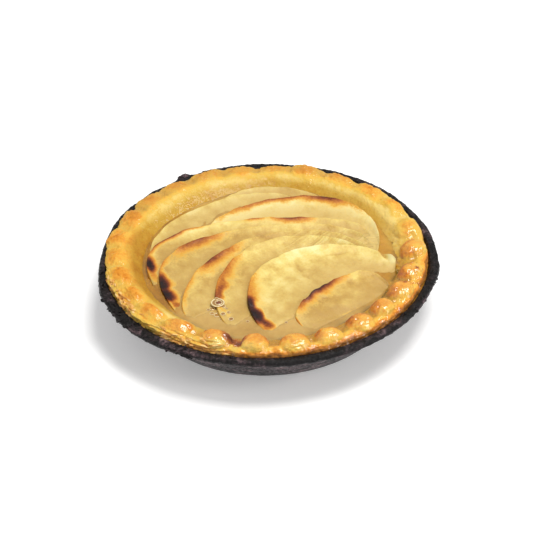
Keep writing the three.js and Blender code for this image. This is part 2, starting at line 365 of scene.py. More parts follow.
crust = {
    "around": 840,       # points in each ring
    "topRows": 84,
    # radius and height in mm
    "outside": [[42.2, 1.2], [43.6, 2.8], [49.8, 9.3], [55.9, 15.8], [56.35, 17.2], [56.4, 18.3]],
    "outsideSteps": [1, 2, 3, 4, 5],
    "inside": [[41.2, 5.4], [38.0, 4.0]],
    "sharpRim": [[56.4, 18.3], [56.2, 19.0], [55.6, 19.6], [54.4, 19.8], [52.8, 19.4], [51.0, 18.9],
                 [49.2, 18.4], [47.6, 17.7], [46.2, 16.9], [44.3, 15.4]],
    "softRim": [[56.4, 18.3], [56.1, 19.4], [55.3, 20.5], [54.0, 21.3], [52.4, 21.6], [50.8, 21.2],
                [49.2, 20.4], [47.4, 19.4], [45.6, 18.0], [44.2, 16.8], [43.0, 15.4]],
    "rimSteps": 8,
    "knob": {"radius": 51.3, "long": 4.8, "wide": 4.8, "rise": 3.5, "gapRadius": 51,   # mm
             "corners": 2.3, "fullness": 0.62, "lean": 0.12},
    # how far one knob differs from the next: place in mm, size and height as shares, a soft one's height
    "chance": {"place": 0.5, "size": 0.1, "rise": 0.14, "softRise": 0.25},
    "bump": {"radius": 52.9, "long": 2.7, "crease": 1.8},   # mm, a knob on the softer side
    "bumpTone": {"radius": 53.6, "long": 3.0},              # mm, where such a knob has browned
    # mm, how the ridge differs at the front left
    "leftRidge": {"inward": 1.8, "narrower": 0.5, "steeper": 0.9, "higher": 0.9, "toneInward": 2.3},
    "leaning": {"angle": 135, "wide": 32, "by": 1.4},       # the far left wall stands further in, mm
    "relief": 0.3,       # mm, pits and lumps of the baked surface
    "reliefNoise": ((0.9, 3.2, 5, 3), (0.5, 1.1, 9, 2)),    # share, size in mm, seed, octaves
    "wrinkles": 0.9,     # their share of that
    "lumps": 0.6,        # mm, broader lumps along the softer side
    "flakeDepth": 0.34,  # mm, layers that show on the outer left
    "layer": 0.85,       # mm, height of one of them
    # degrees: where a side begins, where it is full, where it starts to fade and where it ends
    "sides": {"frontLeft": (170, 205, 250, 262), "flaky": (186, 200, 246, 262), "far": (40, 70, 125, 160),
              "left": (145, 172, 200, 230), "dullShade": (30, 75, 140, 175), "glazed": (205, 225, 250, 270),
              "overhanging": (95, 120, 224, 240), "peeling": (193, 196, 225, 229)},
    "overhang": 0.95,    # mm, by which the left front edge lies on the lip
    "peel": {"height": 18.6, "deep": 1.1, "wide": 0.38},      # mm, a layer that lifts off
    # a crack: degrees, then mm, how ragged in degrees, and the mm in a degree there
    "crack": {"angle": 337, "from": 51.5, "wide": 0.6, "deep": 1.8, "ragged": 0.6, "degree": 0.97},
    # scorched and bare places: angle, radius, size in mm, strength
    "scorch": [(255.5, 50.5, 3.0, 1.0), (259, 51.5, 2.6, 0.95), (252, 48.2, 1.4, 0.6), (333, 52, 1.2, 0.7),
               (343, 53.5, 1.1, 0.7), (350, 51.0, 0.9, 0.55), (346, 49.5, 0.8, 0.5), (282, 49.2, 1.1, 0.5),
               (290, 50.5, 0.9, 0.4), (241, 50.5, 1.2, 0.35), (303, 48.4, 1.0, 0.35), (318, 48.0, 1.0, 0.35)],
    "bare": [(253, 55.0, 2.4, 0.9), (258, 55.6, 2.2, 0.8)],
    # how much each place adds to the bake, the dull tone and the glaze, or takes away; the dull tone is
    # painted shade on the far rim and in the creases, and a duller outer face
    "bake": {"all": 0.34, "outer": 0.5, "knob": 0.17, "uneven": 0.04, "outerPale": 0.05, "bare": 0.4,
             "right": 0.15, "roundKnobs": 1.36, "softKnob": 0.13, "farKnob": 0.1, "crease": 0.14,
             "wall": 0.34, "farWall": 0.12, "leftWall": 0.4, "layers": 0.16},
    "dullShading": {"far": 0.4, "crease": 0.22, "outer": 0.5},
    "glaze": {"all": 0.06, "sharp": 0.4, "knob": 0.7, "wall": 0.04, "bare": 0.5, "wetAndShaded": 0.5, "front": 0.4},
    "baked": [(0.0, "f0d27a"), (0.2, "e6bd52"), (0.38, "efbb4c"), (0.52, "eca53c"), (0.68, "dc8a22"),
              (0.84, "b76518"), (1.0, "8a4212")],
    # the wet tones: glaze pooled between the knobs, and painted shade at the foot of the wall by the custard
    "wetAndShaded": [(0.1, "c79a30"), (0.3, "b98420"), (0.5, "aa7218"), (0.8, "8c5412")],
    "scorched": [(0.0, "d98a35"), (0.5, "b5621d"), (1.0, "5f260d")],
    # the dull tone: painted shade on the far rim and in the creases, and a duller outer face
    "dullShade": "b98440",
    "glazeLean": (0, -0.35, 0.75),  # the way that the glaze levels out
    "finish": {"Specular IOR Level": 0.2, "Coat Roughness": 0.05, "Coat IOR": 1.7, "Subsurface Weight": 0.1},
    "reach": (2.0, 1.2, 0.5),
}

knobChance = np.random.default_rng(7).uniform(-1, 1, (crimps["count"], 4))


def sideOf(name, degrees):
    return band(*crust["sides"][name], degrees)


def wallLean(angle):
    # how far the foot of the wall stands further in, mostly at the far left
    lean = crust["leaning"]
    away = ((np.degrees(angle) - lean["angle"] + 180) % 360 - 180) / lean["wide"]
    return lean["by"] * bell(away)


def rimLine(name, radius):
    line = spread(np.array(crust[name], float)[::-1], [crust["rimSteps"]] * (len(crust[name]) - 1))
    return np.interp(radius, line[:, 0], line[:, 1])


def rimTop(angle, radius):
    # height of the rim's upper face, and how much of a knob stands at each point
    phase, number = crimpPhase(angle)
    soft = softness(angle)
    stretched = radius + wallLean(angle) * smooth(50.5, 44, radius)
    place, along, size, rise = np.moveaxis(knobChance[number], -1, 0)
    differ = crust["chance"]
    # a sharp knob: an egg-shaped dome that leans a little towards the custard
    knob = crust["knob"]
    across = phase * math.pi * knob["gapRadius"] / crimps["count"] - differ["place"] * place
    out = radius - knob["radius"] - differ["place"] * along
    grown = 1 + differ["size"] * size
    away = (np.abs(across / (knob["wide"] * grown)) ** knob["corners"]
            + np.abs(out / (knob["long"] * grown)) ** knob["corners"])
    dome = np.clip(1 - away, 0, 1) ** knob["fullness"]
    domeRise = knob["rise"] * (1 + differ["rise"] * rise) - knob["lean"] * out
    sharpTop = rimLine("sharpRim", stretched) + domeRise * dome
    # a soft one: what the creases leave of the ridge, which lies further in at the front left
    bump = crust["bump"]
    tone = crust["bumpTone"]
    frontLeft = sideOf("frontLeft", np.degrees(angle) % 360)
    crease = phase ** 2
    left = crust["leftRidge"]
    narrower = left["narrower"] * frontLeft
    ridge = bell((radius - bump["radius"] + left["inward"] * frontLeft) / (bump["long"] - narrower))
    softTop = rimLine("softRim", stretched) - bump["crease"] * crease * ridge
    softTop = softTop - left["steeper"] * frontLeft * smooth(52.5, 54.5, radius)
    softTop = softTop + (differ["softRise"] * rise + left["higher"] * frontLeft) * (1 - crease) * ridge
    browned = bell((radius - tone["radius"] + left["toneInward"] * frontLeft) / (tone["long"] - narrower))
    z = sharpTop * (1 - soft) + softTop * soft + 0.25 * wobble(angle, 1) * smooth(46, 51, radius)
    return z, dome * (1 - soft) + (1 - crease) * browned * soft


def makeCrustMaterial():
    material, tree, shader = newMaterial("bakedCrust", crust)
    place = objectPlace(tree)
    blotch = noiseNode(tree, place, size=4.5, detail=5, rough=0.65)
    speck = noiseNode(tree, place, size=0.8, detail=4, rough=0.65)
    lumpy = noiseNode(tree, place, size=2.4, detail=4, rough=0.6)
    value = varied(tree, attributeNode(tree, "bake"), (blotch, 0.85), (speck, 0.45))
    baked = rampNode(tree, value, crust["baked"])
    # painted shade: the dull tone on the far rim and in the creases, and the wet tones at the foot of the
    # wall, beside pooled glaze and a duller outer face
    baked = mixColour(tree, attributeNode(tree, "dullShade"), baked, colour(crust["dullShade"]))
    wetAndShaded = mathNode(tree, "MULTIPLY", attributeNode(tree, "wetAndShaded"), 0.85)
    baked = mixColour(tree, wetAndShaded, baked, rampNode(tree, value, crust["wetAndShaded"]))
    scorch = varied(tree, attributeNode(tree, "scorch"), (speck, 0.5))
    burnt = rangeNode(tree, scorch, (0.25, 0.6), (0, 1))
    patches = rangeNode(tree, noiseNode(tree, place, size=2.2), (0.36, 0.52), (0.3, 1))
    glaze = mathNode(tree, "MULTIPLY", attributeNode(tree, "glaze"), patches)
    # the glaze has run level over the knobs, and dried to a crazed film whose glints break up
    facing = outputOf(tree, "ShaderNodeNewGeometry", socket="Normal")
    level = vectorMath(tree, "NORMALIZE", vectorMath(tree, "ADD", facing, crust["glazeLean"]))
    crazing = noiseNode(tree, place, size=1.3, rough=0.6)
    crazed = bumpNode(tree, crazing, depth=0.35, strength=0.28, under=level)
    pitted = bumpNode(tree, speck, depth=0.4, strength=0.8)
    feed(tree, shader, {
        "Base Color": mixColour(tree, burnt, baked, rampNode(tree, scorch, crust["scorched"])),
        "Roughness": rangeNode(tree, glaze, (0, 1), (0.6, 0.22)),
        "Normal": bumpNode(tree, lumpy, depth=0.8, strength=0.6, under=pitted),
        "Coat Weight": glaze,
        "Coat Normal": bumpNode(tree, lumpy, depth=0.4, strength=0.25, under=crazed)})
    return material


def spots(angle, radius, entries):
    # how strongly the listed places mark each point
    total = np.zeros(np.broadcast(angle, radius).shape)
    for degrees, r, size, strength in entries:
        a = math.radians(degrees)
        away = np.hypot(radius * np.cos(angle) - r * math.cos(a), radius * np.sin(angle) - r * math.sin(a))
        total = np.maximum(total, strength * bell(away / size))
    return total


def crustRows(angle):
    # rings from the foot outside, over the rim and down inside: radius, height, share of a knob
    soft = softness(angle)
    outside = spread(np.array(crust["outside"], float), crust["outsideSteps"])[:-1]
    inside = np.array(crust["inside"], float)
    share = np.linspace(0, 1, crust["topRows"])[None]
    share = 0.65 * share + 0.35 * share ** 2  # the rings lie closer at the outer edge
    outerEdge = crust["sharpRim"][0][0]
    innerEdge = crust["sharpRim"][-1][0] * (1 - soft) + crust["softRim"][-1][0] * soft - wallLean(angle)
    topRadius = outerEdge + (innerEdge - outerEdge) * share
    topHeight, knob = rimTop(angle, topRadius)
    flat = np.zeros_like(angle)
    radius = np.concatenate([flat + outside[None, :, 0], topRadius, flat + inside[None, :, 0]], 1)
    height = np.concatenate([flat + outside[None, :, 1], topHeight, flat + inside[None, :, 1]], 1)
    return radius, height, np.pad(knob, ((0, 0), (len(outside), len(inside))))


def crustPush(at, grid):
    # how far each point stands out, and how much of the peeling layer and of the crack lies there
    rough = layered(grid, crust["reliefNoise"])
    wrinkles = bell(noise(grid, 2.6, 83) / 0.12) * smooth(50, 51.5, at.radius)
    push = crust["relief"] * (rough - crust["wrinkles"] * wrinkles) * at.seen
    push = push + crust["lumps"] * at.soft * noise(grid, 6.5, 61) * smooth(49, 51.5, at.radius) * at.seen
    push = push * (1 - 0.6 * at.soft * smooth(50.5, 48.5, at.radius))  # the far wall is smooth
    push = push + crust["flakeDepth"] * at.layers * at.outer * at.flaky
    peel = crust["peel"]
    lifted = at.height - peel["height"] - 0.25 * noise(grid * [1, 1, 0], 7, 43)
    groove = sideOf("peeling", at.degrees) * bell(lifted / peel["wide"]) * smooth(53.5, 54.5, at.radius)
    crack = crust["crack"]
    aside = (at.degrees - crack["angle"] + crack["ragged"] * noise(grid, 2, 3)) * crack["degree"]
    gap = bell(aside / crack["wide"]) * smooth(crack["from"], crack["from"] + 2, at.radius)
    gap = gap * smooth(17, 18, at.height)
    return push - peel["deep"] * groove - crack["deep"] * gap, groove, gap


def crustLayers(at, grid, groove, gap):
    # what the crust's material reads at each point
    knob = at.knob
    sharp = 1 - at.soft
    ledge = smooth(50, 52, at.radius)
    wall = smooth(50.5, 48.0, at.radius) * at.soft
    farSide = sideOf("far", at.degrees)
    leftSide = sideOf("left", at.degrees)
    rightSide = bell(((at.degrees + 180) % 360 - 180 - 18) / 20)
    bare = spots(at.angle, at.r, crust["bare"])
    # the crack and the peel's groove are darkened with the scorched tones; in the groove under the lifted
    # layer that is painted shade
    scorch = np.maximum(spots(at.angle, at.r, crust["scorch"]) * at.seen, 0.9 * gap)
    creases = at.soft * at.phase ** 4 * ledge
    by = crust["bake"]
    bake = by["all"] + by["outer"] * sharp * at.outer * smooth(20.4, 18.8, at.height) + by["knob"] * knob
    bake = bake + by["uneven"] * noise(grid, 7, 31) - by["outerPale"] * at.outer
    bake = bake - by["bare"] * bare - by["right"] * rightSide
    bake = bake + by["roundKnobs"] * sharp * knob * (1 - knob) * smooth(53.0, 50.5, at.radius)
    bake = bake + (by["softKnob"] - by["farKnob"] * farSide) * at.soft * knob - by["crease"] * creases
    bake = bake - wall * (by["wall"] - by["farWall"] * farSide - by["leftWall"] * leftSide)
    bake = bake - by["layers"] * at.outer * at.flaky * at.layers
    # wet: glaze pooled between the sharp knobs, and the foot of the wall by the custard, which is soaked and
    # painted shade
    wetAndShaded = sharp * smooth(0.25, 0.0, knob) * smooth(53.5, 51.5, at.radius) * at.seen * (1 - 0.85 * rightSide)
    soakedShadedFoot = smooth(20.2, 18.2, at.height - 0.7 * leftSide + 0.5 * noise(grid, 9, 71))
    wetAndShaded = np.maximum(wetAndShaded, soakedShadedFoot * smooth(51, 49, at.radius) * at.soft)
    # painted shade on the far rim and in the creases, and a duller outer face
    by = crust["dullShading"]
    dullShade = by["far"] * sideOf("dullShade", at.degrees) * smooth(49.5, 51.5, at.radius) + by["crease"] * creases
    dullShade = dullShade + by["outer"] * sharp * at.outer * smooth(19.3, 18.6, at.height)
    by = crust["glaze"]
    glaze = by["all"] + sharp * (by["sharp"] + by["knob"] * knob) + by["wall"] * wall
    glaze = glaze + by["bare"] * bare + by["wetAndShaded"] * wetAndShaded * sharp
    glaze = glaze + by["front"] * sideOf("glazed", at.degrees) * knob
    return {"bake": bake, "scorch": np.maximum(scorch, 0.75 * groove), "glaze": np.clip(glaze, 0, 1),
            "wetAndShaded": wetAndShaded, "dullShade": np.clip(dullShade, 0, 1)}


def makeCrust():
    angle = ringAngles(crust["around"])
    radius, height, knob = crustRows(angle)
    at = SimpleNamespace(angle=angle, degrees=np.degrees(angle) % 360, phase=crimpPhase(angle)[0],
                         soft=softness(angle), radius=radius, height=height, knob=knob)
    # the outer edge draws in a little at each crease, and hangs over at the left
    drawn = 0.55 * np.abs(at.phase) ** 3 * smooth(16.5, 18.5, height) * smooth(52, 55, radius)
    hanging = sideOf("overhanging", at.degrees) * smooth(18.4, 18.9, height) * smooth(52, 55.5, radius)
    at.r = radius - drawn + 0.3 * wobble(angle, 3) * smooth(17, 19, height) + crust["overhang"] * hanging
    grid = ringPoints(angle, at.r, height)
    at.seen = smooth(15.6, 17.2, height)
    # thin layers on the outer face, strongest at the front left: each slips back above its foot
    at.flaky = np.clip(sideOf("flaky", at.degrees) + 0.2, 0, 1)
    at.outer = smooth(54.0, 55.4, radius) * smooth(16.4, 17.4, height)
    level = (height + 0.7 * noise(grid * [0.35, 0.35, 0.6], 4, 21, 3)) / crust["layer"]
    at.layers = 1 - 2 * (level % 1) ** 1.6
    push, groove, gap = crustPush(at, grid)
    grid = grid + gridNormals(grid) * push[..., None]
    piece = turnedPiece("pastryShell", grid, crust["outside"][0][1], crust["inside"][-1][1],
                        makeCrustMaterial(), crustLayers(at, grid, groove, gap))
    keepInside(piece)
    finishPiece(piece, "crust", "pastry_shell")
    return piece


slices = {
    "thickness": 3.0,    # mm
    "corner": 0.75,      # mm, rounding of the outer edge
    "blunt": 2.0,        # mm, half the width of a tip
    "settle": 16.0,      # mm over which a face levels out
    "stations": 150,
    "topRows": 46,
    "lip": 0.35,         # mm, how far a dried edge curls up
    "relief": 0.16,      # mm
    "reliefNoise": ((1.0, 5.5, 13, 2), (0.5, 1.6, 17, 2)),  # share, size in mm, seed, octaves
    "waves": 0.35,       # mm, unevenness of the outer edge
    "lifted": range(2, 7),   # their right ends lie on the custard rather than in it
    "clearance": 0.35,       # mm, by which they do
    "gap": {"edge": 0.6, "face": 0.15, "deeper": 0.05},  # mm, between a slice and one above it
    # the burns: how ragged, in lumps of what size, how sharply they end, and how brown a plain edge is
    "burn": {"ragged": 0.3, "size": 3.6, "along": 2.6, "inward": 1.6, "spot": 2.4,
             "edge": 0.08, "leftEdge": 0.12, "edgeWide": 0.9},
    # how much each place adds to the tint, or takes away
    "tint": {"uneven": 0.1, "inner": 0.1, "outer": 0.05, "pale": 0.12, "crossingShade": 0.15, "left": 0.24,
             "lump": 0.3, "dentShade": 0.8},
    "finish": {"Specular IOR Level": 0.35, "Subsurface Weight": 0.2},
    "reach": (2.0, 1.7, 1.1),
    "flesh": [(0.1, "b58c42"), (0.3, "caa553"), (0.48, "dcbe68"), (0.64, "ebd580"), (0.85, "f3e7a6")],
    # flesh coated in custard, also used to darken the low faces near it as painted shade
    "wetAndShaded": [(0.2, "c09c55"), (0.5, "ccab62"), (0.8, "d8ba70")],
    "burnt": [(0.05, "f2d678"), (0.22, "e4b044"), (0.42, "c87e26"), (0.62, "8f4613"), (0.8, "4c1a0b"),
              (1.0, "1c0806")],
    # the topmost first, in the words of the solids; marks on the edge: where along it, half the length,
    # how deep in mm, how dark; spots on the face: x, y, half length, half width, turn, how dark;
    # dents in it, or lumps on it: the same with a height in mm
    "list": [
        {"x": 26, "y": -28.6, "half": 18.4, "deep": 10.7, "turn": 37, "skew": -0.1, "point": 0.7,
         "core": 4.4, "rise": 19.7, "sink": (3.7, 1.6), "slope": (0.28, 0.34), "shade": -0.28,
         "marks": [(-0.17, 0.46, 2.2, 0.85), (-0.9, 0.1, 1.6, 0.42)],
         "spots": [(31.3, -30.4, 6.8, 0.55, 26, 0.26)],
         "dents": [(31.0, -30.6, 7.5, 0.8, 26, -0.45), (28, -27.5, 9, 2.2, 28, 0.25)]},
        {"x": 22.4, "y": -24.8, "half": 28.9, "deep": 28.3, "turn": 35, "skew": 0.07, "point": 1.05,
         "core": 0, "rise": 19.6, "sink": (3.7, 1.0), "slope": (0.13, 0.3), "shade": 0.06,
         "marks": [(-0.60, 0.30, 4.2, 0.42)],
         "spots": [(-6.3, -29.0, 4.4, 2.0, -80, 0.95), (-4.6, -33.6, 4.8, 2.1, -58, 1.0),
                   (-1.6, -37.0, 3.4, 1.3, -40, 0.75)],
         "dents": [(43.6, -5.2, 2.4, 2.6, 20, 1.3), (39.0, -5.0, 2.0, 1.8, -10, 0.6),
                   (41.0, -3.4, 2.6, 0.6, -60, -0.9), (11.0, -8.6, 3.6, 0.4, -68, -0.3),
                   (14.2, -13.6, 2.6, 0.4, -35, -0.25), (24, -1.5, 4, 0.5, 8, -0.25)]},
        {"x": 11.3, "y": -19.4, "half": 30.9, "deep": 28.2, "turn": 37, "skew": -0.04, "point": 1.2,
         "core": 0, "rise": 19.3, "sink": (3.5, 1.2), "slope": (0.14, 0.42), "shade": -0.05,
         "marks": [(-0.34, 0.24, 3.4, 0.5), (-0.62, 0.12, 2.6, 0.62)],
         "spots": [(-16.3, -21.0, 4.4, 1.5, -98, 0.62), (-15.4, -15.2, 4.6, 1.4, -80, 0.52)]},
        {"x": 4.9, "y": -16.1, "half": 36.3, "deep": 27.1, "turn": 28, "skew": -0.08, "point": 1.2,
         "core": 0, "rise": 19.1, "sink": (3.3, 1.4), "slope": (0.12, 0.45), "shade": -0.09,
         "marks": [(-0.60, 0.26, 1.8, 0.36), (-0.24, 0.20, 3.6, 0.6)],
         "spots": [(-20.2, -3.6, 5.0, 1.8, 42, 0.72)]},
        {"x": 3.1, "y": -12.1, "half": 38.5, "deep": 30.2, "turn": 28.3, "skew": 0.32, "point": 0.77,
         "core": 0, "rise": 19.0, "sink": (2.3, 1.6), "slope": (0.14, 0.42), "shade": -0.05,
         "marks": [(-0.62, 0.16, 1.6, 0.42), (-0.27, 0.20, 3.6, 0.62)],
         "spots": [(-36.3, -16.0, 4.2, 2.3, -78, 1.0), (-34.8, -20.8, 4.0, 2.3, -62, 1.0),
                   (-31.2, -25.6, 3.0, 1.2, -42, 0.55)]},
        {"x": -1.6, "y": -0.3, "half": 40.6, "deep": 22.6, "turn": 18.8, "skew": 0.35, "point": 0.87,
         "core": 0, "rise": 18.9, "sink": (1.0, 1.8), "slope": (0.2, 0.4), "shade": 0.0,
         "marks": [(-0.50, 0.28, 1.1, 0.75), (0.07, 0.07, 1.3, 0.55), (0.29, 0.14, 2.0, 0.7)],
         "spots": [(-41.0, -4.4, 3.4, 1.9, -75, 1.0), (-39.5, -9.5, 3.0, 1.2, -60, 0.4)]},
        {"x": 9, "y": 9.3, "half": 31.2, "deep": 27.2, "turn": -12, "skew": -0.23, "point": 1.1,
         "core": 0, "rise": 18.8, "sink": (1.4, 1.6), "slope": (0.18, 0.3), "shade": 0.3,
         "marks": [(-0.12, 0.62, 2.0, 0.6), (0.16, 0.20, 2.8, 0.75)]},
        {"x": -11.3, "y": 13, "half": 32.2, "deep": 22.8, "turn": 34, "skew": -0.03, "point": 0.95,
         "core": 0, "rise": 18.0, "sink": (0.8, 0.6), "slope": (0.16, 0.3), "shade": 0.1},
        {"x": 1.8, "y": 18.8, "half": 24, "deep": 25.8, "turn": -4, "skew": 0, "point": 1.0,
         "core": 0, "rise": 17.6, "sink": (0.4, 0.6), "slope": (0.3, 0.3), "shade": 0.05},
    ],
}


def sliceEdges(one, sweep):
    # outer and inner distance from the chord, height of the edge and slope of the face
    arch = np.clip(np.cos(sweep), 0, 1) ** one["point"]
    blunt = slices["blunt"]
    outer = blunt + (one["deep"] * (1 - one["skew"] * np.sin(sweep)) - blunt) * arch
    inner = -blunt + (blunt - one["core"]) * arch
    along = sweep / (np.pi / 2)
    edge = one["rise"] - np.where(along < 0, *one["sink"]) * np.abs(along) ** 3
    left, right = one["slope"]
    return outer, inner, edge, left + (right - left) * (0.5 + 0.5 * np.sin(sweep))


def faceHeight(edge, slope, reach):
    settle = slices["settle"]
    return edge - slope * settle * (1 - np.exp(-np.maximum(reach, 0) / settle))


def onPatch(x, y, patch):
    # distance from the middle of a turned oval, 1 at its edge
    atX, atY, long, wide, turn = patch[:5]
    s, t = turnedBy(turn, x - atX, y - atY)
    return np.hypot(s / long, t / wide)


def coverOf(one, x, y):
    # for points of the plan: how far inside this slice they lie (negative outside), its top there,
    # and how near they are to its straight side
    u, v = turnedBy(one["turn"], x - one["x"], y - one["y"])
    outer, inner, edge, slope = sliceEdges(one, np.arcsin(np.clip(u / one["half"], -1, 1)))
    inside = np.minimum(np.minimum(outer - v, v - inner), one["half"] - np.abs(u))
    return inside, faceHeight(edge, slope, outer - v), smooth(-1.5, 1.5, (outer - v) - (v - inner))


def keepUnder(index, x, y, z, below):
    # a lower slice stays under those above it, inside their outlines only
    gap = slices["gap"]
    thick = slices["thickness"]
    for upper in slices["list"][:index]:
        inside, top = coverOf(upper, x, y)[:2]
        z = np.where(inside > 0.1, np.minimum(z, top - gap["edge"]), z)
        z = np.where(inside > 0.9, np.minimum(z, top - thick - gap["face"] - gap["deeper"] * below), z)
    return z


def makeAppleMaterial():
    material, tree, shader = newMaterial("bakedApple", slices)
    place = objectPlace(tree)
    broad = noiseNode(tree, place, size=16, detail=2, rough=0.5)
    cloud = noiseNode(tree, place, size=4, detail=4, rough=0.6)
    fine = noiseNode(tree, place, size=0.8, rough=0.6)
    uv = outputOf(tree, "ShaderNodeUVMap", uv_map="UVMap")
    fibre = stretchedNoise(tree, uv, (1.3, 0.16, 1))
    # fine ridges where the stack of slices shows its edges
    ridge = mathNode(tree, "SUBTRACT", stretchedNoise(tree, uv, (0.2, 5.0, 1)), 0.5)
    ridged = mathNode(tree, "MULTIPLY", ridge, attributeNode(tree, "ridged"))
    value = varied(tree, 0.5, (broad, 0.8), (cloud, 0.75), (fibre, 0.5), (fine, 0.22))
    value = mathNode(tree, "MULTIPLY_ADD", ridged, 1.1, value)
    value = mathNode(tree, "ADD", value, attributeNode(tree, "tint"))
    flesh = rampNode(tree, value, slices["flesh"])
    flesh = mixColour(tree, attributeNode(tree, "wetAndShaded"), flesh, rampNode(tree, value, slices["wetAndShaded"]))
    burn = varied(tree, attributeNode(tree, "burn"), (fine, 0.3), (cloud, 0.18))
    brown = rampNode(tree, burn, slices["burnt"])
    low = bumpNode(tree, ridged, depth=1.6, strength=1.0)
    low = bumpNode(tree, fibre, depth=0.4, strength=0.6, under=low)
    low = bumpNode(tree, cloud, depth=0.7, strength=0.5, under=low)
    feed(tree, shader, {
        "Base Color": mixColour(tree, rangeNode(tree, burn, (0.06, 0.28), (0, 1)), flesh, brown),
        "Roughness": rangeNode(tree, cloud, (0.3, 0.7), (0.42, 0.6)),
        "Normal": bumpNode(tree, fine, depth=0.25, strength=0.5, under=low)})
    return material


def sliceRing():
    # the section from the core edge over the top, round the outer edge, back under it and up the core:
    # share of the way across, mm beyond that, mm below the face
    thick = slices["thickness"]
    corner = slices["corner"]
    quarter = math.pi / 2
    steps = np.linspace(0, 1, slices["topRows"])[:-1] ** 0.85  # closer together at the outer edge
    top = [(s, 0, 0.5 * (1 - min(s / 0.03, 1)) ** 2) for s in steps]  # rounded at the core edge
    over = [(1, corner * math.sin(a), corner * (1 - math.cos(a))) for a in np.linspace(0, quarter, 8)]
    side = [(1, corner, corner + (thick - 2 * corner) * t) for t in (0.35, 0.65)]
    turned = np.linspace(0, quarter, 5)
    under = [(1, corner * math.cos(a), thick - corner * (1 - math.sin(a))) for a in turned]
    bottom = [(s, 0, thick) for s in (0.75, 0.5, 0.25, 0.0)]
    core = [(0, -0.25, thick * (1 - t)) for t in (0.3, 0.7)]
    return np.array(top + over + side + under + bottom + core).T


def sliceLayers(one, index, at):
    # what the apple's material reads at each point
    by = slices["burn"]
    ragged = 1 + by["ragged"] * noise(at.plan, by["size"], 23)
    burn = np.zeros_like(at.z)
    for where, long, deep, dark in one.get("marks", []):
        near = dark * bell((at.along - where) / long, by["along"])
        inwards = (at.inward - 0.15 * deep) / (deep * ragged)
        burn = np.maximum(burn, near * bell(inwards, by["inward"]))
    for patch in one.get("spots", []):
        near = bell(0.75 * onPatch(at.x, at.y, patch) / ragged, by["spot"])
        burn = np.maximum(burn, patch[-1] * near)
    if "marks" in one:
        edging = by["edge"] + by["leftEdge"] * smooth(10, -25, at.x)
        burn = np.maximum(burn, edging * bell(at.inward / by["edgeWide"]) * ragged)
    # the tips lie in custard, and of the front slice the whole straight side
    sunk = smooth(3.6, 0.6, at.v - at.inner) * smooth(0.35, 0.7, -at.along)
    if index == 0:
        sunk = np.maximum(sunk, smooth(3.0, 0.5, at.v - at.inner))
    # wet where custard coats it, and darker low down near the custard as painted shade
    wetAndShaded = np.maximum(smooth(2.4, 0.2, at.z - custard["level"]), sunk * at.onTop)
    ridged = smooth(0, 14, at.x) * band(-12, -6, 10, 18, at.y) * (0.15 if index < 2 else 0.9)
    by = slices["tint"]
    tint = by["uneven"] * noise(at.plan, 14, 29, 1) - by["inner"] * smooth(0, 14, at.inward)
    tint = tint + by["outer"] * smooth(5, 0, at.inward)
    pale = bell(np.hypot((at.x - 18) / 22, (at.y - 7) / 12))  # the middle stayed light
    # painted shade where the slices cross
    crossingShade = bell(np.hypot((at.x - 2) / 8, (at.y - 10) / 5))  # where the slices cross it is darker
    tint = tint + one["shade"] + by["pale"] * pale - by["crossingShade"] * crossingShade
    tint = tint - by["left"] * smooth(-20, -36, at.x + 0.15 * at.y)
    # painted shade in the dents and painted light on the lumps
    tint = tint + by["lump"] * np.maximum(at.lump, 0) + by["dentShade"] * np.minimum(at.lump, 0)
    return {"burn": burn, "tint": tint, "wetAndShaded": wetAndShaded, "ridged": ridged}


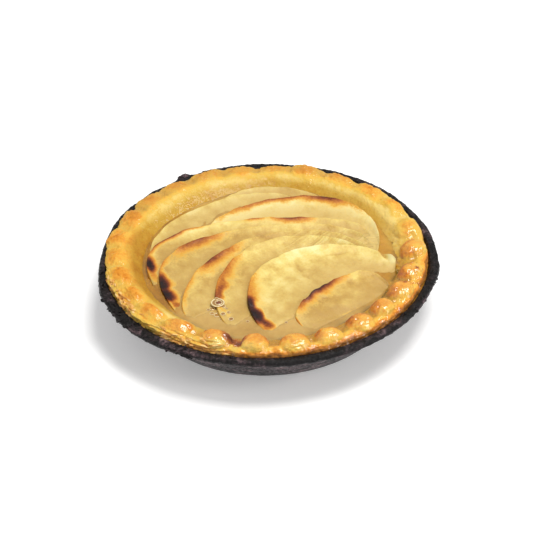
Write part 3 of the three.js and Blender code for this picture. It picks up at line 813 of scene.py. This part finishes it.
def makeSlice(index, material):
    one = slices["list"][index]
    count = slices["stations"]
    even = np.linspace(-1, 1, count)[:, None]
    quarter = math.pi / 2 * 0.98
    crowded = np.sin(even * quarter) / math.sin(quarter)
    along = 0.5 * crowded + 0.5 * even  # the stations lie closer towards the tips
    sweep = along * math.pi / 2
    outer, inner, edge, slope = sliceEdges(one, sweep)
    wave = noise(np.stack([along * 9 + 31 * index, 0 * along, 0 * along], -1), 1, 3, 3)
    outer = outer + slices["waves"] * wave * (1 - np.abs(along) ** 6)
    share, beyond, below = sliceRing()
    v = inner + (outer - slices["corner"] - inner) * share + beyond
    u = one["half"] * np.sin(sweep) + 0 * v
    across = sliceEdges(one, sweep)[0][:, 0]
    lean = np.gradient(across) / np.maximum(np.gradient(u[:, 0]), 1e-4)
    inward = (outer - v) / np.sqrt(1 + np.clip(lean, -6, 6)[:, None] ** 2)  # straight in from the edge
    x, y = turnedBy(-one["turn"], u, v)
    x = x + one["x"]
    y = y + one["y"]
    face = faceHeight(edge, slope, outer - v)
    if index in slices["lifted"]:
        sunken = np.maximum(custard["level"] + slices["clearance"] - face, 0)
        face = face + sunken * smooth(0.1, 0.5, along)
    plan = np.stack([x, y, np.full_like(x, 7.0 * index)], -1)  # so that no slice repeats another's relief
    onTop = 1 - smooth(0.2, 1.5, below)
    curl = slices["lip"] * bell(inward / 1.6) * (1 + 0.8 * noise(plan, 5, 11))
    relief = slices["relief"] * layered(plan, slices["reliefNoise"])
    lump = sum((patch[-1] * bell(onPatch(x, y, patch)) for patch in one.get("dents", [])), 0 * x)
    z = keepUnder(index, x, y, face - below + (curl + relief + lump) * onTop, below)
    # it stays inside the crust
    around = np.arctan2(y, x)
    squeeze = np.minimum((custard["edge"] - softness(around) - wallLean(around)) / np.hypot(x, y), 1)
    x = x * squeeze
    y = y * squeeze
    at = SimpleNamespace(x=x, y=y, z=z, v=v, along=along, inner=inner, inward=inward, plan=plan, lump=lump,
                         onTop=onTop)
    points = np.stack([x, y, z], -1)
    vertices = np.vstack([points.reshape(-1, 3), points[[0, -1]].mean(1)])
    n = len(share)
    faces = quads(count, n, closedColumns=True)
    first = count * n
    last = (count - 1) * n
    for j in range(n):
        k = (j + 1) % n
        faces.append((first, j, k))
        faces.append((first + 1, last + k, last + j))
    uv = np.stack([u / 10, v / 10], -1).reshape(-1, 2)
    piece = buildMesh("appleSlice%02d" % (index + 1), vertices, faces, material, sliceLayers(one, index, at),
                      np.vstack([uv, uv[:1], uv[-1:]]))
    finishPiece(piece, "apple", "apple_slice_%02d" % (index + 1))


custard = {
    "level": 16.55,      # mm
    "around": 720,
    "rings": 110,
    "edge": 45.4,        # mm
    "inCreases": (0.9, 3.2),  # mm further out in the middle of a knob, and how much more in a crease
    "wall": [[38.0, 4.3], [40.7, 5.5], [41.3, 15.0]],
    "reliefNoise": ((0.14, 9, 51, 2), (0.04, 2.5, 53, 2)),  # mm high, size in mm, seed, octaves
    "edgeRise": {"wide": 3, "high": 0.6, "inCreases": 0.9},   # mm, where it rises to meet the crust
    "tint": {"all": 0.06, "edge": 0.06, "left": 0.16},
    "amberFar": 0.4,     # how clear it is behind the apple
    "milky": [(0.25, "a9813f"), (0.45, "bb944d"), (0.62, "c8a35b"), (0.85, "d4b168")],
    "clear": [(0.25, "a06c16"), (0.5, "bf8a28"), (0.8, "d8a43e")],
    "finish": {"Roughness": 0.3, "Coat Weight": 0.5, "Coat Roughness": 0.12, "Subsurface Weight": 0.3},
    "reach": (3.0, 2.5, 1.5),
    # how it creeps up a slice: reach in mm and share of the height, both with more at a straight side
    "creep": {"reach": 1.3, "straightReach": 1.4, "share": 0.4, "straightShare": 0.45, "most": 1.3},
    # mm: the gap below a slice, how far it dips there, and how far above its level it stands at most
    "under": {"gap": 0.3, "hollow": 2.4, "above": 0.8},
}


def makeCustardMaterial():
    material, tree, shader = newMaterial("bakedCustard", custard)
    place = objectPlace(tree)
    fine = noiseNode(tree, place, size=1.6, rough=0.6)
    value = varied(tree, noiseNode(tree, place, size=14), (fine, 0.3))
    value = mathNode(tree, "ADD", value, attributeNode(tree, "tint"))
    milky = rampNode(tree, value, custard["milky"])
    clear = rampNode(tree, value, custard["clear"])
    feed(tree, shader, {
        "Base Color": mixColour(tree, attributeNode(tree, "amber"), milky, clear),
        "Normal": bumpNode(tree, fine, depth=0.2, strength=0.25)})
    return material


def custardTop(angle, radius, edge):
    plan = ringPoints(angle, radius, 0)
    x, y = plan[..., 0], plan[..., 1]
    level = custard["level"]
    rise = custard["edgeRise"]
    rising = np.clip((radius - edge + rise["wide"]) / rise["wide"], 0, 1) ** 2.5
    high = rise["high"] + (1 - softness(angle)) * rise["inCreases"] * crimpPhase(angle)[0] ** 2
    z = level + layered(plan, custard["reliefNoise"]) + high * rising
    # it creeps up the sides of the slices
    creep = custard["creep"]
    for one in slices["list"]:
        inside, top, straight = coverOf(one, x, y)
        near = bell(np.minimum(inside, 0) / (creep["reach"] + creep["straightReach"] * straight))
        share = creep["share"] + creep["straightShare"] * straight
        raised = z + share * near * np.clip(top - z, 0, creep["most"])
        z = np.where((inside < 0.2) & (top > z), raised, z)
    # and lies under each of them, but for the tips that sank into it
    under = custard["under"]
    for one in slices["list"]:
        inside, top = coverOf(one, x, y)[:2]
        z = np.where((inside > 0.25) & (top > level + 0.25), np.minimum(z, top - under["gap"]), z)
        covered = smooth(0.5, 1.3, inside) * smooth(0.5, 0.8, top - level)
        z = np.minimum(z, level + under["above"] - under["hollow"] * covered)
    return x, y, z


def makeCustard():
    angle = ringAngles(custard["around"])
    share = np.linspace(1, 1 / custard["rings"], custard["rings"])[None]
    least, more = custard["inCreases"]
    outward = (1 - softness(angle)) * (least + more * np.abs(crimpPhase(angle)[0]) ** 1.8)
    edge = custard["edge"] - wallLean(angle) + outward
    radius = edge * share
    x, y, z = custardTop(angle, radius, edge)
    wall = np.array(custard["wall"])
    below = ringPoints(angle, wall[None, :, 0], wall[None, :, 1])
    grid = np.concatenate([below, np.stack([x, y, z], -1)], 1)
    by = custard["tint"]
    tint = by["all"] - by["edge"] * smooth(38, 45, radius) - by["left"] * smooth(-22, -36, x)
    amber = smooth(24, 40, np.abs(x - 2)) * smooth(34, 42, radius) + custard["amberFar"] * smooth(-10, 10, y)
    buried = ((0, 0), (len(wall), 0))
    piece = turnedPiece("custard", grid, custard["wall"][0][1], custard["level"], makeCustardMaterial(),
                        {"tint": np.pad(tint, buried), "amber": np.pad(np.clip(amber, 0, 1), buried)})
    finishPiece(piece, "custard", "filling")


def newGeometryTree(name, inputs):
    # a named input for each value, with the socket that suits it
    kinds = {float: "NodeSocketFloat", int: "NodeSocketInt", tuple: "NodeSocketVector"}
    tree = bpy.data.node_groups.new(name, "GeometryNodeTree")
    tree.interface.new_socket(name="Geometry", in_out="INPUT", socket_type="NodeSocketGeometry")
    for label, value in inputs.items():
        socket = tree.interface.new_socket(name=label, in_out="INPUT", socket_type=kinds[type(value)])
        socket.default_value = value
    tree.interface.new_socket(name="Geometry", in_out="OUTPUT", socket_type="NodeSocketGeometry")
    return tree, tree.nodes.new("NodeGroupInput").outputs


def closeTree(tree, geometry, material):
    # every tree ends with real geometry that wears its material
    real = outputOf(tree, "GeometryNodeRealizeInstances", {"Geometry": geometry})
    dressed = outputOf(tree, "GeometryNodeSetMaterial", {"Geometry": real, "Material": material})
    feed(tree, tree.nodes.new("NodeGroupOutput"), {0: dressed})
    return tree


def growPiece(name, buildTree, mesh, material, inputs):
    # runs the tree once over a mesh and keeps the result as a plain mesh
    seed = addObject(name + "Seed", mesh)
    modifier = seed.modifiers.new("grow", "NODES")
    modifier.node_group = buildTree(name + "Tree", material, inputs)
    for item in modifier.node_group.interface.items_tree:
        if item.in_out == "INPUT" and item.name in inputs:
            modifier[item.identifier] = inputs[item.name]
    graph = bpy.context.evaluated_depsgraph_get()
    graph.update()
    grown = bpy.data.meshes.new_from_object(seed.evaluated_get(graph))
    grown.name = name
    seed.modifiers.remove(modifier)
    bpy.data.objects.remove(seed)
    return addObject(name, grown)


def namedValue(tree, name):
    return outputOf(tree, "GeometryNodeInputNamedAttribute", {"Name": name}, data_type="FLOAT")


def angleNode(tree, place):
    split = addNode(tree, "ShaderNodeSeparateXYZ", {0: place}).outputs
    return mathNode(tree, "ARCTAN2", split[1], split[0])


def shadeSmooth(tree, geometry):
    return outputOf(tree, "GeometryNodeSetShadeSmooth", {"Geometry": geometry, "Shade Smooth": True})


tin = {
    "lipRadius": 60.0,   # mm
    "height": 18.3,
    "baseRadius": 45.2,
    "mouth": 56.8,       # inside of the rolled lip
    "lipWidth": 2.0,
    "steps": [6, 3, 30, 5, 5, 5, 5, 4, 3, 3, 6, 2, 6],  # points in each stretch of its section
    "middle": 50.0,      # mm, radius of the ring that the section runs along
    # baked-on lumps and bends: degrees, width in degrees, mm out, mm up
    "lumps": [(110, 4, 0.4, 0.3), (121, 2.8, 1.0, 1.3), (135, 4, 0.4, 0.3), (200, 5, 0.6, 0.4),
              (222, 16, 0.9, -0.3), (348, 7, 0.5, 0.2), (176, 16, -1.1, 0)],
    "grains": ((2.6, 1.0), (1.82, 2.3), (1.04, 5.0)),  # how strong, how many times finer
    "lipFrom": (15, 17),       # mm, where the wall becomes the lip
    # the wall's small lift is painted sheen, and the lip darker
    "lipShade": (0.03, -0.05),   # what that changes in its tone
    "grow": {"Ring Radius": 0.05, "Stations": 900, "Wave Out": 0.00035, "Wave Up": 0.0003,
             "Grain Depth": 0.0003, "Grain Size": 0.0028, "Seed": 3.0},  # metres
    "finish": {"Specular IOR Level": 0.24},
    # its palest, pinkish tones are painted sheen
    "blackened": [(0.34, "070505"), (0.46, "140f0f"), (0.55, "32272a"), (0.63, "624e51"), (0.76, "a08884")],
}


def makeTinMaterial():
    material, tree, shader = newMaterial("blackenedTin", tin)
    place = objectPlace(tree)
    broad = noiseNode(tree, place, size=9, detail=4, rough=0.6)
    speck = noiseNode(tree, place, size=1.2, detail=4, rough=0.65)
    # streaks of grain, which also stand in for painted sheen on the wall
    streakAndSheen = stretchedNoise(tree, place, (0.35, 0.35, 1.6), size=3, detail=4)
    value = varied(tree, 0.5, (broad, 0.45), (streakAndSheen, 0.75), (speck, 0.5))
    # the lip is darker than the wall, and the wall is lifted a little as painted sheen
    height = outputOf(tree, "ShaderNodeSeparateXYZ", {0: place}, socket=2)
    lip = rangeNode(tree, height, [h * mm for h in tin["lipFrom"]], tin["lipShade"])
    value = mathNode(tree, "ADD", value, lip)
    rough = noiseNode(tree, place, size=3.5, detail=5, rough=0.65)
    feed(tree, shader, {
        "Base Color": rampNode(tree, value, tin["blackened"]),
        "Roughness": rangeNode(tree, speck, (0.35, 0.65), (0.6, 0.24)),
        "Normal": bumpNode(tree, speck, depth=0.5, strength=0.8,
                           under=bumpNode(tree, rough, depth=1.2, strength=0.8))})
    return material


def waveNode(tree, angle, seed):
    # the slow unevenness round the tart, as nodes
    total = 0.0
    for share, turns, shift in wobbleWaves:
        inner = mathNode(tree, "MULTIPLY_ADD", angle, turns, shift * seed)
        total = mathNode(tree, "MULTIPLY_ADD", mathNode(tree, "SINE", inner), share, total)
    return total


def tinTree(name, material, inputs):
    # sweeps the section along a ring, bends the lip, and roughens what is crusty
    tree, given = newGeometryTree(name, inputs)
    section = outputOf(tree, "GeometryNodeMeshToCurve", {"Mesh": given["Geometry"]})
    ring = outputOf(tree, "GeometryNodeCurvePrimitiveCircle", {
        "Resolution": given["Stations"], "Radius": given["Ring Radius"]})
    swept = outputOf(tree, "GeometryNodeCurveToMesh", {"Curve": ring, "Profile Curve": section})
    body = outputOf(tree, "GeometryNodeMergeByDistance", {"Geometry": swept, "Distance": 0.01 * mm})
    place = outputOf(tree, "GeometryNodeInputPosition")
    angle = angleNode(tree, place)
    out = mathNode(tree, "MULTIPLY", waveNode(tree, angle, 2), given["Wave Out"])
    up = mathNode(tree, "MULTIPLY", waveNode(tree, angle, 5), given["Wave Up"])
    for at, wide, lumpOut, lumpUp in tin["lumps"]:
        away = mathNode(tree, "SUBTRACT", angle, math.radians(at))
        away = mathNode(tree, "WRAP", away, math.pi, -math.pi)
        away = mathNode(tree, "DIVIDE", away, math.radians(wide))
        away = mathNode(tree, "MULTIPLY", away, away)
        share = mathNode(tree, "EXPONENT", mathNode(tree, "MULTIPLY", away, -1))
        out = mathNode(tree, "MULTIPLY_ADD", share, lumpOut * mm, out)
        up = mathNode(tree, "MULTIPLY_ADD", share, lumpUp * mm, up)
    lipShare = namedValue(tree, "lipShare")
    out = mathNode(tree, "MULTIPLY", out, lipShare)
    move = outputOf(tree, "ShaderNodeCombineXYZ", {
        0: mathNode(tree, "MULTIPLY", out, mathNode(tree, "COSINE", angle)),
        1: mathNode(tree, "MULTIPLY", out, mathNode(tree, "SINE", angle)),
        2: mathNode(tree, "MULTIPLY", up, lipShare)})
    bent = outputOf(tree, "GeometryNodeSetPosition", {"Geometry": body, "Offset": move})
    grain = 0.0
    for strong, finer in tin["grains"]:
        fleck = outputOf(tree, "ShaderNodeTexNoise", {
            "Vector": place, "W": given["Seed"], "Detail": 2.0,
            "Scale": mathNode(tree, "DIVIDE", finer, given["Grain Size"])}, noise_dimensions="4D")
        grain = varied(tree, grain, (fleck, strong))
    depth = mathNode(tree, "MULTIPLY", mathNode(tree, "MULTIPLY", grain, given["Grain Depth"]),
                     namedValue(tree, "crusty"))
    push = vectorMath(tree, "SCALE", outputOf(tree, "GeometryNodeInputNormal"), depth)
    grained = outputOf(tree, "GeometryNodeSetPosition", {"Geometry": bent, "Offset": push})
    outwards = outputOf(tree, "GeometryNodeFlipFaces", {"Mesh": grained})
    return closeTree(tree, shadeSmooth(tree, outwards), material)


def makeTin():
    top = tin["height"]
    lip = tin["lipRadius"]
    base = tin["baseRadius"]
    mouth = tin["mouth"]
    # radius, height, share of the lip's unevenness, how crusty
    profile = np.array([
        [0, 0, 0, 0], [base - 1.2, 0, 0, 0], [base, 0.7, 0, 0.3], [lip - tin["lipWidth"], top - 2, 0.3, 0.9],
        [lip - 0.5, top - 1.9, 1, 1], [lip, top - 1, 1, 1], [lip - 0.4, top - 0.2, 1, 1],
        [lip - 1.5, top + 0.1, 0.6, 1], [mouth + 0.4, top, 0.2, 0.7], [mouth, top - 0.6, 0, 0.3],
        [mouth - 0.2, top - 2.4, 0, 0], [base - 0.8, 1.6, 0, 0], [base - 2, 0.9, 0, 0],
        [0, 0.9, 0, 0]], float)
    rows = np.vstack([np.linspace(profile[i], profile[i + 1], n, endpoint=False)
                      for i, n in enumerate(tin["steps"])] + [profile[-1:]])
    outerWall = slice(sum(tin["steps"][:2]), sum(tin["steps"][:3]))
    rows[outerWall, 3] = 0.25 + 0.75 * smooth(8, 15.5, rows[outerWall, 1])
    mesh = bpy.data.meshes.new("tinSection")
    points = np.stack([(rows[:, 0] - tin["middle"]) * mm, -rows[:, 1] * mm, 0 * rows[:, 0]], -1)
    mesh.from_pydata(points.tolist(), [(i, i + 1) for i in range(len(rows) - 1)], [])
    writeLayer(mesh, "lipShare", rows[:, 2])
    writeLayer(mesh, "crusty", rows[:, 3])
    piece = growPiece("bakingTin", tinTree, mesh, makeTinMaterial(), tin["grow"])
    keepInside(piece)
    finishPiece(piece, "tin", "tin")
    return piece


# sizes in metres and how many on a square metre, where they lie thickest
flakes = {
    "grow": {"Per Area": 5.0e5, "Smallest": (0.0008, 0.00025, 0.00012), "Largest": (0.0026, 0.0007, 0.00026),
             "Tilt": 0.35, "Ragged": 0.55, "Seed": 4},
    "finish": {"Roughness": 0.5},
    "colours": [(0.3, "b9742c"), (0.45, "dda24c"), (0.58, "efc376"), (0.75, "f6d898")],
}
clumps = {
    "grow": {"Per Area": 4.0e5, "Smallest": (0.0003, 0.00025, 0.00015), "Largest": (0.0011, 0.0007, 0.0004),
             "Tilt": 0.5, "Ragged": 0.45, "Seed": 9},
    # degrees, half width in degrees, how thick
    "places": [(212, 14, 1.0), (196, 8, 0.6), (122, 2.5, 0.8), (240, 12, 0.6), (326, 14, 0.25),
               (344, 5, 0.35), (111, 2, 0.4)],
}


# one lump, the scale of its noise, and how far in mm that pushes it
chip = {"segments": 8, "rings": 5, "finer": 1400.0, "push": 1.2}


def scatterTree(name, material, inputs):
    # small ragged lumps, laid along the ring, where the "often" attribute asks for them
    tree, given = newGeometryTree(name, inputs)
    points = outputOf(tree, "GeometryNodeDistributePointsOnFaces", {
        "Mesh": given["Geometry"], "Seed": given["Seed"],
        "Density": mathNode(tree, "MULTIPLY", namedValue(tree, "often"), given["Per Area"])})
    angle = angleNode(tree, outputOf(tree, "GeometryNodeInputPosition"))
    along = mathNode(tree, "ADD", angle, math.pi / 2)
    back = mathNode(tree, "MULTIPLY", given["Tilt"], -1)
    tilts = [outputOf(tree, "FunctionNodeRandomValue", {
        2: back, 3: given["Tilt"], "Seed": mathNode(tree, "ADD", given["Seed"], extra)},
        socket=1, data_type="FLOAT") for extra in (1, 2, 3)]
    turn = outputOf(tree, "ShaderNodeCombineXYZ", {
        0: tilts[0], 1: tilts[1], 2: mathNode(tree, "ADD", along, tilts[2])})
    size = outputOf(tree, "FunctionNodeRandomValue", {
        0: given["Smallest"], 1: given["Largest"], "Seed": given["Seed"]}, data_type="FLOAT_VECTOR")
    ball = outputOf(tree, "GeometryNodeMeshUVSphere", {
        "Segments": chip["segments"], "Rings": chip["rings"], "Radius": 1.0})
    laid = outputOf(tree, "GeometryNodeInstanceOnPoints", {
        "Points": points, "Instance": ball, "Rotation": turn, "Scale": size})
    loose = outputOf(tree, "GeometryNodeRealizeInstances", {"Geometry": laid})
    fleck = outputOf(tree, "ShaderNodeTexNoise", {"Scale": chip["finer"], "Detail": 1.0}, socket="Color")
    push = vectorMath(tree, "SUBTRACT", fleck, (0.5, 0.5, 0.5))
    push = vectorMath(tree, "SCALE", push, mathNode(tree, "MULTIPLY", given["Ragged"], chip["push"] * mm))
    ragged = outputOf(tree, "GeometryNodeSetPosition", {"Geometry": loose, "Offset": push})
    return closeTree(tree, ragged, material)


def scatterOn(name, host, often, material, settings, slot):
    mesh = host.data.copy()
    writeLayer(mesh, "often", often)
    piece = growPiece(name, scatterTree, mesh, material, settings["grow"])
    keepInside(piece)
    finishPiece(piece, slot)


def roundPlaces(piece):
    # angle in degrees, radius and height of each point, and the points themselves, in mm
    p = placesOf(piece.data) / mm
    return np.degrees(np.arctan2(p[:, 1], p[:, 0])) % 360, np.hypot(p[:, 0], p[:, 1]), p[:, 2], p


def makeFlakes(host):
    # broken edges of the layers, on the outer face at the front left
    material, tree, shader = newMaterial("loosePastry", flakes)
    value = noiseNode(tree, objectPlace(tree), size=2.2, rough=0.6)
    feed(tree, shader, {"Base Color": rampNode(tree, value, flakes["colours"])})
    degrees, radius, height, p = roundPlaces(host)
    often = (band(188, 200, 250, 266, degrees) * smooth(53.8, 55.2, radius)
             * smooth(17.2, 17.8, height) * smooth(21, 20.2, height))
    often = often * smooth(-0.5, 0.4, noise(p, 6, 77))
    scatterOn("crustFlakes", host, often, material, flakes, "crust")


def makeClumps(host):
    # baked-on crumbs along the lip, as black as the tin
    degrees, radius, height, p = roundPlaces(host)
    often = np.zeros(len(p))
    for at, wide, thick in clumps["places"]:
        often = np.maximum(often, thick * bell((degrees - at) / wide))
    often = often * smooth(56.8, 58.2, radius) * smooth(13.5, 16.5, height)
    scatterOn("tinClumps", host, often, host.data.materials[0], clumps, "tin")


bubbles = {
    # x, y, radius in mm, how much of it stands out, how brown it is inside
    "places": [(-17.0, -27.2, 2.1, 0.7, 0.35), (-16.7, -27.4, 1.15, 2.8, 1.0), (-18.9, -28.9, 0.8, 2.4, 0.1),
               (-15.0, -28.7, 0.7, 2.4, 0.2), (-17.4, -25.2, 0.6, 2.4, 0.2), (-17.2, -32.0, 1.0, 1.0, 0.2),
               (-15.2, -32.6, 0.8, 1.0, 0.4), (-18.9, -31.2, 0.7, 1.0, 0.2), (-13.4, -31.6, 0.6, 1.0, 0.2),
               (-12.5, -34.7, 0.8, 1.0, 0.5), (-20.2, -29.4, 0.5, 1.0, 0.3), (-7.0, -36.0, 0.5, 1.0, 0.4),
               (-14.0, -29.6, 0.4, 1.0, 0.3), (-16.0, -34.4, 0.4, 1.0, 0.3), (5.8, -37.6, 0.45, 1.0, 0.5)],
    "grow": {"Wall": 0.13, "Flat": 0.14},  # of a radius: thickness of the ring, height of the dome
    "finish": {"Roughness": 0.25, "Coat Weight": 0.8, "Coat Roughness": 0.08},
    "foam": "ead7a6",
    "inside": ("b68c48", "7d4622"),
}


def makeBubbleMaterial():
    material, tree, shader = newMaterial("custardBubble", bubbles)
    pale, brown = [colour(text) for text in bubbles["inside"]]
    inside = mixColour(tree, attributeNode(tree, "brown"), pale, brown)
    tone = mixColour(tree, attributeNode(tree, "hollow"), colour(bubbles["foam"]), inside)
    feed(tree, shader, {"Base Color": tone})
    return material


def bubbleTree(name, material, inputs):
    # a ring with a low dome in it at each point
    tree, given = newGeometryTree(name, inputs)
    circle = "GeometryNodeCurvePrimitiveCircle"
    ring = outputOf(tree, circle, {"Resolution": 22, "Radius": 1.0})
    section = outputOf(tree, circle, {"Resolution": 8, "Radius": given["Wall"]})
    rim = outputOf(tree, "GeometryNodeCurveToMesh", {"Curve": ring, "Profile Curve": section})
    dome = outputOf(tree, "GeometryNodeMeshUVSphere", {"Segments": 18, "Rings": 8, "Radius": 0.93})
    squash = outputOf(tree, "ShaderNodeCombineXYZ", {0: 1.0, 1: 1.0, 2: given["Flat"]})
    low = outputOf(tree, "GeometryNodeTransform", {"Geometry": dome, "Scale": squash})
    marked = outputOf(tree, "GeometryNodeStoreNamedAttribute", {
        "Geometry": low, "Name": "hollow", "Value": 1.0}, data_type="FLOAT", domain="POINT")
    both = addNode(tree, "GeometryNodeJoinGeometry")
    tree.links.new(marked, both.inputs[0])
    tree.links.new(rim, both.inputs[0])
    points = outputOf(tree, "GeometryNodeMeshToPoints", {"Mesh": given["Geometry"]})
    width = namedValue(tree, "width")
    rise = mathNode(tree, "MULTIPLY", width, namedValue(tree, "rise"))
    size = outputOf(tree, "ShaderNodeCombineXYZ", {0: width, 1: width, 2: rise})
    blown = outputOf(tree, "GeometryNodeInstanceOnPoints", {
        "Points": points, "Instance": both.outputs[0], "Scale": size})
    return closeTree(tree, shadeSmooth(tree, blown), material)


def makeBubbles():
    x, y, width, rise, brown = np.array(bubbles["places"]).T
    graph = bpy.context.evaluated_depsgraph_get()
    points = []
    for place in zip(x * mm, y * mm):
        # they float on whatever lies highest there
        top = bpy.context.scene.ray_cast(graph, (*place, 0.1), (0, 0, -1))[1][2]
        points.append((*place, top + 0.02 * mm))
    mesh = bpy.data.meshes.new("bubblePlaces")
    mesh.from_pydata(points, [], [])
    for key, values in (("width", width * mm), ("rise", rise), ("brown", brown)):
        writeLayer(mesh, key, values)
    piece = growPiece("custardBubbles", bubbleTree, mesh, makeBubbleMaterial(), bubbles["grow"])
    finishPiece(piece, "custard")


studio = {
    "world": 0.42,
    "tableSize": 3.0,    # metres, from the middle to each side
    # a lit table, so the shadow stays faint
    "finish": {"Base Color": (0.93, 0.93, 0.93, 1), "Emission Color": (1, 1, 1, 1),
               "Emission Strength": 0.25, "Roughness": 0.9},
    # place in metres, size in metres, watts, colour
    "lights": [((0.17, -0.03, 0.75), 0.28, 4.0, (1.0, 0.99, 0.97)),
               ((-0.6, -0.3, 0.7), 1.0, 1.0, (1.0, 1.0, 1.0)),
               ((0.45, -0.35, 0.45), 0.2, 0.9, (1.0, 0.99, 0.97))],
}


def makeStage():
    size = studio["tableSize"]
    mesh = bpy.data.meshes.new("floor")
    mesh.from_pydata([(-size, -size, 0), (size, -size, 0), (size, size, 0), (-size, size, 0)], [],
                     [(0, 1, 2, 3)])
    mesh.materials.append(newMaterial("paleFloor", studio)[0])
    floor = addObject("floor", mesh)


def makeLights():
    world = bpy.data.worlds.new("studio")
    world.use_nodes = True
    feed(world.node_tree, world.node_tree.nodes["Background"], {
        "Color": (1, 1, 1, 1), "Strength": studio["world"]})
    bpy.context.scene.world = world
    for i, (place, size, watts, tone) in enumerate(studio["lights"]):
        light = bpy.data.lights.new("softbox%d" % (i + 1), "AREA")
        light.size = size
        light.energy = watts
        light.color = tone
        lamp = addObject(light.name, light)
        lamp.location = place
        aim = -lamp.location
        lamp.rotation_euler = aim.to_track_quat("-Z", "Y").to_euler()
    print("lights:", len(studio["lights"]))


view = {
    "elevation": 36.0,   # degrees above the table
    "distance": 0.5,     # metres to the middle of the tart
    "roll": 1.56,        # degrees, the tart's left end a little lower
    "aimHeight": 15.0,   # mm
    "sensor": 36,        # mm
    "pixels": 540,
    "scale": 2.827,      # pixels for each millimetre at that distance
    "centre": (267.08, 261.35),  # pixels, where the aim point lies in the picture
}


def makeCamera():
    pixels = view["pixels"]
    distance = view["distance"]
    camera = bpy.data.cameras.new("camera")
    camera.sensor_width = view["sensor"]
    camera.lens = view["sensor"] * view["scale"] * distance / mm / pixels
    camera.shift_x = (pixels / 2 - view["centre"][0]) / pixels
    camera.shift_y = (view["centre"][1] - pixels / 2) / pixels
    eye = addObject("camera", camera)
    rise = math.radians(view["elevation"])
    eye.location = (0, -distance * math.cos(rise), view["aimHeight"] * mm + distance * math.sin(rise))
    eye.rotation_mode = "QUATERNION"
    tilt = Quaternion((1, 0, 0), math.pi / 2 - rise)
    eye.rotation_quaternion = tilt @ Quaternion((0, 0, 1), -math.radians(view["roll"]))
    bpy.context.scene.camera = eye
    bpy.context.scene.view_settings.view_transform = "Standard"


shell = makeCrust()
makeFlakes(shell)
appleMaterial = makeAppleMaterial()
for i in range(len(slices["list"])):
    makeSlice(i, appleMaterial)
makeCustard()
makeBubbles()
makeClumps(makeTin())
makeStage()
makeLights()
makeCamera()
